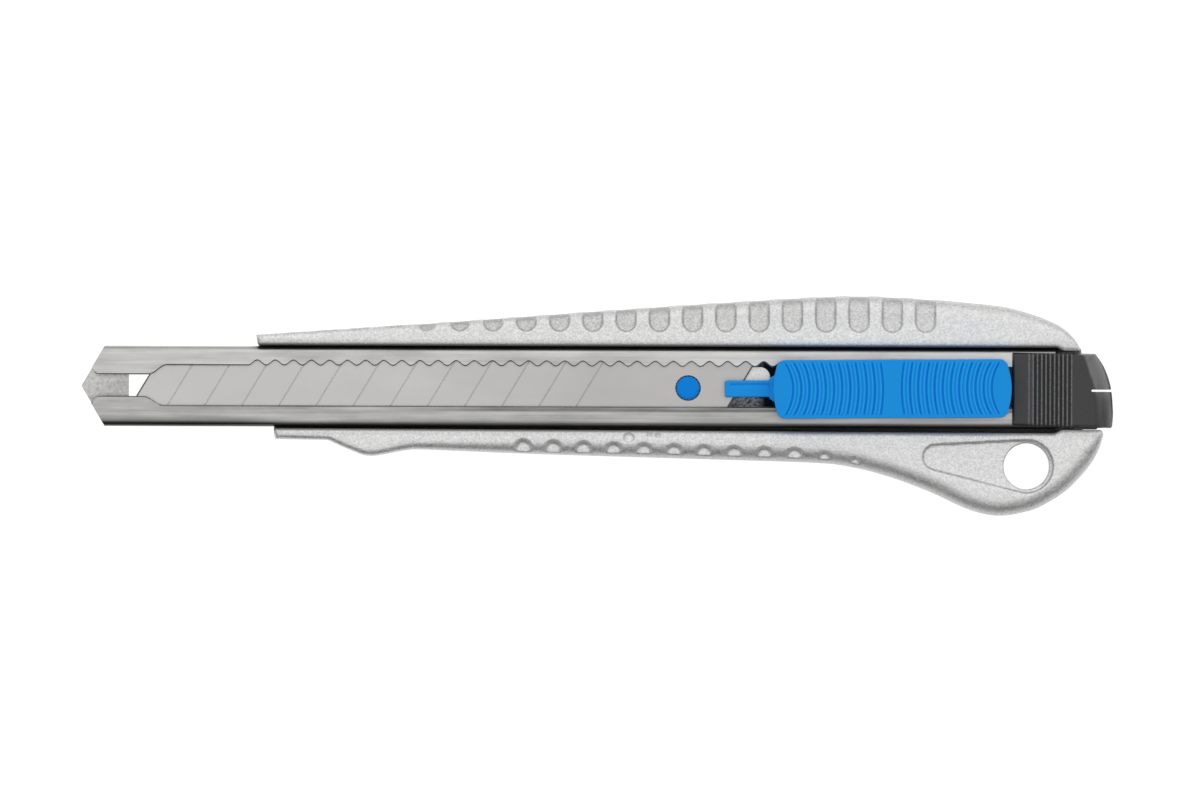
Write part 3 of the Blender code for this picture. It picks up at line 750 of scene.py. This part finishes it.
class Look:
    """A material with one Principled shader and short calls for the nodes behind it."""

    def __init__(self, name, metallic=0.0):
        self.material = bpy.data.materials.new(name)
        self.material.use_nodes = True
        self.tree = self.material.node_tree
        self.shader = self.tree.nodes["Principled BSDF"]
        self.shader.inputs["Metallic"].default_value = metallic
        self.position = self.tree.nodes.new("ShaderNodeTexCoord").outputs["Object"]
        self.place = self.node("ShaderNodeSeparateXYZ", Vector=self.position).outputs

    def feed(self, socket, source):
        if isinstance(source, bpy.types.NodeSocket):
            self.tree.links.new(source, socket)
        else:
            socket.default_value = source

    def node(self, kind, **sources):
        made = self.tree.nodes.new(kind)
        for key, source in sources.items():
            self.feed(made.inputs[key], source)
        return made

    def stretched(self, x, y, z):
        """The position scaled by x, y and z features per metre."""
        return self.node("ShaderNodeMapping", Vector=self.position, Scale=(x, y, z)).outputs["Vector"]

    def noise(self, vector, detail=3.0, rough=0.55):
        made = self.node("ShaderNodeTexNoise", Vector=vector, Scale=1.0, Detail=detail, Roughness=rough)
        return made.outputs["Fac"]

    def flakes(self, vector):
        """A random grey for each grain."""
        grain = self.node("ShaderNodeTexVoronoi", Vector=vector, Scale=1.0)
        return self.node("ShaderNodeSeparateColor", Color=grain.outputs["Color"]).outputs["Red"]

    def spread(self, source, low, high, start=0.0, end=1.0):
        """A value carried from start..end to low..high."""
        made = self.node("ShaderNodeMapRange", Value=source)
        for key, value in (("From Min", start), ("From Max", end), ("To Min", low), ("To Max", high)):
            made.inputs[key].default_value = value
        return made.outputs["Result"]

    def along(self, axis, low, high, start, end):
        """A value that runs from low to high between two places on an axis."""
        return self.spread(self.place[axis], low, high, start * MM, end * MM)

    def maths(self, operation, a, b=0.0):
        made = self.tree.nodes.new("ShaderNodeMath")
        made.operation = operation
        self.feed(made.inputs[0], a)
        self.feed(made.inputs[1], b)
        return made.outputs["Value"]

    def product(self, first, *others):
        for other in others:
            first = self.maths("MULTIPLY", first, other)
        return first

    def off(self, source, place):
        """How far a value is off a place."""
        return self.maths("ABSOLUTE", self.maths("SUBTRACT", source, place))

    def steps(self, start, pitch):
        """Steps of a pitch along X from a start, and how far each place is off the nearest whole one."""
        count = self.maths("DIVIDE", self.maths("SUBTRACT", self.place["X"], start * MM), pitch * MM)
        return count, self.off(count, self.maths("ROUND", count))

    def blend(self, fac, below, above):
        """One colour laid over another by fac. Each is a socket or a plain colour."""
        made = self.tree.nodes.new("ShaderNodeMix")
        made.data_type = "RGBA"
        for socket, source in ((made.inputs[0], fac), (made.inputs[6], below), (made.inputs[7], above)):
            self.feed(socket, (*source, 1.0) if isinstance(source, tuple) else source)
        return made.outputs[2]

    def bump(self, *layers):
        """Layers of (height, depth in millimetres) on the shader's normal."""
        normal = None
        for height, depth in layers:
            made = self.node("ShaderNodeBump", Strength=1.0, Distance=depth * MM, Height=height)
            if normal:
                self.feed(made.inputs["Normal"], normal)
            normal = made.outputs["Normal"]
        self.feed(self.shader.inputs["Normal"], normal)

    def colour(self, source):
        self.feed(self.shader.inputs["Base Color"], source)

    def metallic(self, source):
        self.feed(self.shader.inputs["Metallic"], source)

    def roughness(self, source):
        self.feed(self.shader.inputs["Roughness"], source)


def cast_look():
    """Silver sparkle coat over a die casting: fine flakes and an orange peel under them."""
    look = Look("cast_metal")
    top = HANDLE_HIGH.z
    grain = look.noise(look.stretched(4200, 4200, 4200), 4.0, 0.65)
    flake = look.flakes(look.stretched(5200, 5200, 5200))
    peel = look.noise(look.stretched(900, 900, 900))
    mixed = look.maths("ADD", look.product(flake, 0.45), look.product(grain, 0.55))
    # The grip pockets are painted darker, most at the front. Thin coat or shade can't be told apart.
    _, off_centre = look.steps(POCKET_X, POCKET_PITCH)
    pockets = look.product(
        look.spread(off_centre, 1.0, 0.0, (POCKET_R - 0.15) / POCKET_PITCH, (POCKET_R + 0.05) / POCKET_PITCH),
        look.along("Y", 0.0, 1.0, 9.3, 9.7),
        look.along("X", 1.0, 0.0, 46.0, 46.2),
        look.along("X", 0.55, 0.25, -20, 40),
        look.along("Z", 1.0, 0.0, top - 0.45, top - 0.15),
    )
    # The sides are painted darker below the top, in place of shade.
    sides = look.along("Z", 0.49, 0.0, top - 1.6, top - 0.6)
    grey = look.maths("SUBTRACT", look.spread(mixed, 0.0, 1.0, 0.25, 0.75), sides)
    grey = look.maths("SUBTRACT", grey, pockets)
    coat = look.blend(look.spread(grey, 0.0, 1.0, -0.5, 1.0), (0.52, 0.52, 0.515), (0.95, 0.95, 0.945))
    # The gap beside the guide is painted dark, in place of the shade that falls in it.
    from_middle = look.off(look.place["Y"], CHANNEL_MID * MM)
    painted_gap_shade = look.product(
        look.spread(from_middle, 1.0, 0.0, (CHANNEL_HALF + 0.05) * MM, (CHANNEL_HALF + 0.95) * MM),
        look.along("X", 1.0, 0.0, 61.8, 62.8),
        look.along("Z", 1.0, 0.0, top - 0.3, top - 0.03),
        look.along("Z", 0.0, 1.0, CHANNEL_FLOOR - 1.2, CHANNEL_FLOOR - 0.8),
    )
    look.colour(look.blend(painted_gap_shade, coat, (0.13, 0.128, 0.124)))
    look.metallic(look.spread(from_middle, 0.1, 0.82, (CHANNEL_HALF + 0.7) * MM, (CHANNEL_HALF + 1.0) * MM))
    look.roughness(look.spread(flake, 0.38, 0.5))
    look.bump((peel, 0.012), (grain, 0.03), (flake, 0.014))
    return look.material


def strip_look():
    """Rolled stainless strip with grain along its length and a few darker streaks."""
    look = Look("stainless_steel", metallic=1.0)
    low, top = GUIDE_LOW, GUIDE_HIGH.z
    grain = look.noise(look.stretched(120, 9000, 9000), 4.0, 0.6)
    streak = look.noise(look.stretched(25, 1100, 1100))
    cloud = look.noise(look.stretched(160, 500, 500), 4.0, 0.6)
    blotch = look.noise(look.stretched(110, 420, 420))
    speck = look.noise(look.stretched(2600, 2600, 2600), 3.0, 0.7)
    mixed = look.maths("ADD", look.product(grain, 0.35), look.product(streak, 0.65))
    # The floor of the channel has a plain speckle instead of the grain.
    inner = look.along("Z", 1.0, 0.0, low.z + 1.2, low.z + 1.5)
    mixed = look.maths("ADD", mixed, look.product(look.maths("SUBTRACT", speck, mixed), inner))
    # A painted dark reflection runs as a line on the lower lip along the blade, from the middle to the rear.
    off_line = look.off(look.place["Y"], -0.45 * MM)
    line = look.spread(off_line, 1.0, 0.0, 0.2 * MM, 0.42 * MM)
    lip_dark_reflection = look.product(line, look.along("X", 0.0, 0.9, -22, -14))
    grey = look.maths("SUBTRACT", look.spread(mixed, 0.0, 1.0, 0.32, 0.68), lip_dark_reflection)
    # The strip is painted darker on the finger side than on the grip side, as painted shade and light.
    grey = look.maths("ADD", grey, look.along("Y", -0.3, 0.18, 0.0, 5.0))
    grey = look.maths("ADD", grey, look.spread(blotch, -0.35, 0.35, 0.3, 0.7))
    face = look.blend(look.spread(grey, 0.0, 1.0, -1.0, 1.0), (0.15, 0.148, 0.145), (0.62, 0.615, 0.6))
    # The outer bends are painted dark below the faces as painted shade, except the upper one at the nose.
    outward = look.off(look.place["Y"], CHANNEL_MID * MM)
    bends = look.product(
        look.along("Z", 1.0, 0.0, top - 0.42, top - 0.04),
        look.spread(outward, 0.0, 0.9, 4.3 * MM, 4.6 * MM),
        look.maths("MAXIMUM", look.along("X", 0.0, 1.0, -47, -45), look.along("Y", 1.0, 0.0, 0.0, 1.0)),
    )
    # At the nose the lower bend gets painted shade over a wider stretch.
    nose = look.product(
        look.along("Y", 0.95, 0.0, low.y + 0.4, low.y + 1.6),
        look.along("X", 1.0, 0.25, -54, -40),
    )
    # The channel is painted dark behind the slider, in place of shade.
    covered = look.product(inner, look.along("X", 0.0, 0.95, 14, 18))
    darkened = look.maths("MAXIMUM", look.maths("MAXIMUM", bends, nose), covered)
    look.colour(look.blend(darkened, face, (0.08, 0.079, 0.077)))
    look.roughness(look.spread(cloud, 0.24, 0.36))
    look.bump((grain, 0.004), (streak, 0.01))
    return look.material


def blade_look():
    """Satin ground blade steel, cloudy, with faint grinding across the strip."""
    look = Look("blade_steel", metallic=1.0)
    grind = look.noise(look.stretched(7000, 260, 260))
    cloud = look.noise(look.stretched(90, 260, 260))
    # The blade is painted a little lighter to the front, as painted light.
    tone = look.maths("ADD", look.spread(cloud, 0.0, 0.4, 0.25, 0.75), look.along("X", 0.6, 0.0, -25, 0))
    steel = look.blend(tone, (0.46, 0.456, 0.446), (0.57, 0.565, 0.55))
    # Both ends get a painted shadow: a dark edge, which runs at the blade's angle.
    front = BLADE_LOW.x - BLADE_LOW.y / BLADE_SLOPE
    rear = BLADE_HIGH.x - BLADE_HIGH.y / BLADE_SLOPE
    half = (rear - front) / 2
    sheared = look.maths("SUBTRACT", look.place["X"], look.maths("DIVIDE", look.place["Y"], BLADE_SLOPE))
    from_middle = look.off(sheared, (front + rear) / 2 * MM)
    painted_end_shadow = look.spread(from_middle, 0.0, 0.9, (half - 0.26) * MM, (half - 0.18) * MM)
    look.colour(look.blend(painted_end_shadow, steel, (0.03, 0.03, 0.03)))
    look.roughness(look.spread(grind, 0.3, 0.38))
    look.bump((grind, 0.0015))
    return look.material


def spring_look():
    """Rolled spring strip, light and finely pitted."""
    look = Look("spring_steel", metallic=1.0)
    grain = look.noise(look.stretched(400, 6000, 6000))
    spot = look.noise(look.stretched(3800, 3800, 3800), 4.0, 0.7)
    look.colour(look.blend(look.spread(spot, 0.0, 1.0, 0.3, 0.7), (0.6, 0.59, 0.57), (0.82, 0.81, 0.79)))
    look.roughness(look.spread(grain, 0.3, 0.42))
    look.bump((spot, 0.008))
    return look.material


def carrier_look():
    """Black moulded plate with a blue peg, as the slider is, and a mottled grey front; its black is also
    painted shade in the gaps.
    """
    look = Look("carrier_plastic")
    look.shader.inputs["Specular Tint"].default_value = (*BLUE_SHEEN, 1.0)
    look.shader.inputs["Specular IOR Level"].default_value = 0.1
    squares = []
    for axis, middle in (("X", PEG_X), ("Y", PEG_Y)):
        squares.append(look.maths("POWER", look.off(look.place[axis], middle * MM), 2.0))
    off_peg = look.maths("SQRT", look.maths("ADD", *squares))
    mottle = look.noise(look.stretched(2600, 2600, 2600), 4.0, 0.7)
    # The front of the plate is painted a mottled grey.
    mottled_grey_front = look.product(look.spread(mottle, 0.0, 1.0, 0.35, 0.6), look.along("X", 1.0, 0.0, 21.4, 22.6))
    dark = look.blend(mottled_grey_front, (0.008, 0.008, 0.008), (0.6, 0.6, 0.58))
    blue = look.blend(mottle, (0.006, 0.25, 0.83), (0.008, 0.28, 0.9))
    # Beyond the peg the plate is black, which paints the shade in the ring of the blade's hole.
    around = look.maths("GREATER_THAN", off_peg, (PEG_R + 0.02) * MM)
    look.colour(look.blend(around, blue, dark))
    look.roughness(look.spread(mottle, 0.35, 0.45))
    look.bump((mottle, 0.01))
    return look.material


def plastic(name, rough, depth, sheen):
    """The start of a moulded plastic: a fine spark-eroded texture and a gloss of its own tint."""
    look = Look(name)
    look.shader.inputs["Specular Tint"].default_value = (*sheen, 1.0)
    texture = look.noise(look.stretched(5200, 5200, 5200), 3.0, 0.6)
    look.roughness(look.spread(texture, rough - 0.06, rough + 0.06, 0.3, 0.7))
    look.bump((texture, depth))
    return look


def slider_look():
    """The slider's blue plastic, with painted highlights along the edges of its ribs and painted shade in
    their grooves.
    """
    look = plastic("blue_plastic", 0.4, 0.005, BLUE_SHEEN)
    cloud = look.noise(look.stretched(220, 220, 220))
    # The ribs' painted highlights and shade, read from the mesh.
    rib_light_node = look.node("ShaderNodeAttribute")
    rib_light_node.attribute_name = "rib_painted_light"
    tone = look.maths("ADD", look.spread(rib_light_node.outputs["Fac"], 0.0, 0.9, -1.0, 1.0), look.product(cloud, 0.1))
    look.colour(look.blend(tone, (0.002, 0.22, 0.78), (0.024, 0.44, 1.0)))
    return look.material


def cap_look():
    """Black moulded plastic, painted greyer on the crests of the ribs, with a painted highlight on the rear
    slope.
    """
    look = plastic("black_plastic", 0.42, 0.008, (1.0, 1.0, 1.0))
    top = CAP_HIGH.z
    streak = look.noise(look.stretched(2600, 300, 900))
    speck = look.noise(look.stretched(3600, 3600, 3600), 3.0, 0.7)
    # The grey band is wider in front of the first groove than behind the last.
    steps, off_groove = look.steps(CAP_RIB_X, CAP_RIB_PITCH)
    middle = CAP_RIB_COUNT / 2 - 1.0
    crests = look.product(
        look.spread(off_groove, 0.0, 0.6, 0.24, 0.4),
        look.spread(look.off(steps, middle), 1.0, 0.0, middle + 1.5, middle + 2.0),
        look.spread(speck, 0.4, 1.6, 0.3, 0.7),
    )
    # The rear slope gets a painted highlight, strongest towards the grip side.
    slope = look.product(
        look.along("Z", 1.0, 0.0, top - 0.3, top - 0.06),
        look.along("X", 0.0, 1.0, 64.6, 65.0),
        look.spread(streak, 0.5, 1.3, 0.3, 0.7),
        look.along("Y", 0.3, 1.5, 1.0, 4.2),
    )
    grey_and_highlight = look.maths("ADD", look.product(speck, 0.14), look.maths("MAXIMUM", crests, slope))
    # The grey is left off the shoe, which paints it as in shade under the cap.
    shoe = look.along("Y", 0.0, 1.0, -2.8, -2.6)
    look.colour(look.blend(look.product(grey_and_highlight, shoe), (0.022, 0.022, 0.024), (0.19, 0.19, 0.19)))
    return look.material


# ---------------------------------------------------------------- stage


def make_floor():
    """A plain white light table: bright from above, dimmer at a slant, so that low edges stay dark."""
    mesh = bpy.data.meshes.new("floor")
    bm = bmesh.new()
    bmesh.ops.create_grid(bm, x_segments=1, y_segments=1, size=FLOOR_SIZE * MM)
    bm.to_mesh(mesh)
    bm.free()
    floor = link("floor", mesh, bpy.context.scene.collection)
    floor.location.z = -0.02 * MM
    white = bpy.data.materials.new("floor_white")
    white.use_nodes = True
    shader = white.node_tree.nodes["Principled BSDF"]
    shader.inputs["Base Color"].default_value = (0.35, 0.35, 0.35, 1.0)
    shader.inputs["Roughness"].default_value = 0.9
    shader.inputs["Specular IOR Level"].default_value = 0.0
    shader.inputs["Emission Color"].default_value = (1.0, 1.0, 1.0, 1.0)
    slant = white.node_tree.nodes.new("ShaderNodeLayerWeight")
    glow = white.node_tree.nodes.new("ShaderNodeMapRange")
    glow.inputs["From Min"].default_value = 0.3
    glow.inputs["To Min"].default_value = FLOOR_GLOW
    glow.inputs["To Max"].default_value = FLOOR_EDGE_GLOW
    white.node_tree.links.new(slant.outputs["Facing"], glow.inputs["Value"])
    white.node_tree.links.new(glow.outputs["Result"], shader.inputs["Emission Strength"])
    mesh.materials.append(white)


def make_world():
    """A studio that is bright above and on the grip side, and dim towards the finger side."""
    world = bpy.data.worlds.new("studio")
    world.use_nodes = True
    tree = world.node_tree
    background = tree.nodes["Background"]
    direction = tree.nodes.new("ShaderNodeTexCoord").outputs["Generated"]
    split = tree.nodes.new("ShaderNodeSeparateXYZ")
    tree.links.new(direction, split.inputs[0])
    lean = tree.nodes.new("ShaderNodeVectorMath")
    lean.operation = "DOT_PRODUCT"
    tree.links.new(direction, lean.inputs[0])
    lean.inputs[1].default_value = (0.0, math.sin(SKY_LEAN), math.cos(SKY_LEAN))

    def carried(socket, start, end, low, high):
        """A value carried softly from start..end to low..high, where low may be a socket."""
        made = tree.nodes.new("ShaderNodeMapRange")
        made.interpolation_type = "SMOOTHSTEP"
        tree.links.new(socket, made.inputs["Value"])
        for key, value in (("From Min", start), ("From Max", end), ("To Max", high)):
            made.inputs[key].default_value = value
        if isinstance(low, float):
            made.inputs["To Min"].default_value = low
        else:
            tree.links.new(low, made.inputs["To Min"])
        return made.outputs["Result"]

    horizon = carried(split.outputs["Y"], -1.0, 1.0, SKY_FINGER_SIDE, SKY_GRIP_SIDE)
    dome = carried(lean.outputs["Value"], SKY_FROM, SKY_TO, horizon, SKY_TOP)
    tree.links.new(dome, background.inputs["Strength"])
    background.inputs["Color"].default_value = (1.0, 1.0, 1.0, 1.0)
    bpy.context.scene.world = world


def make_light(name, location, size, energy):
    """A soft box in metres, turned to the origin."""
    data = bpy.data.lights.new(name, "AREA")
    data.shape = "RECTANGLE"
    data.size, data.size_y = size
    data.energy = energy
    lamp = link(name, data, bpy.context.scene.collection)
    lamp.location = location
    lamp.rotation_euler = Vector(location).to_track_quat("Z", "Y").to_euler()
    lamp.visible_camera = False


def make_camera():
    """A long lens straight above the object, as the photograph was taken."""
    data = bpy.data.cameras.new("camera")
    data.lens = data.sensor_width * VIEW_DISTANCE / VIEW_WIDTH
    data.clip_end = 20.0
    camera = link("camera", data, bpy.context.scene.collection)
    camera.location = Vector((*VIEW_CENTRE, HANDLE_HIGH.z + VIEW_DISTANCE)) * MM
    camera.rotation_euler = (0.0, 0.0, math.radians(VIEW_ROLL))
    bpy.context.scene.camera = camera


make_handle(cast_look())
make_guide(strip_look())
make_blade(blade_look())
make_carrier(carrier_look())
make_spring(spring_look())
make_thumb_slider(slider_look())
make_end_cap(cap_look())
for tool in list(TOOLS.objects):
    bpy.data.objects.remove(tool, do_unlink=True)

make_floor()
make_world()
make_light("key", (0.0, 0.25, 0.7), (0.9, 0.5), 0.1)
make_camera()
bpy.context.scene.view_settings.view_transform = "Standard"
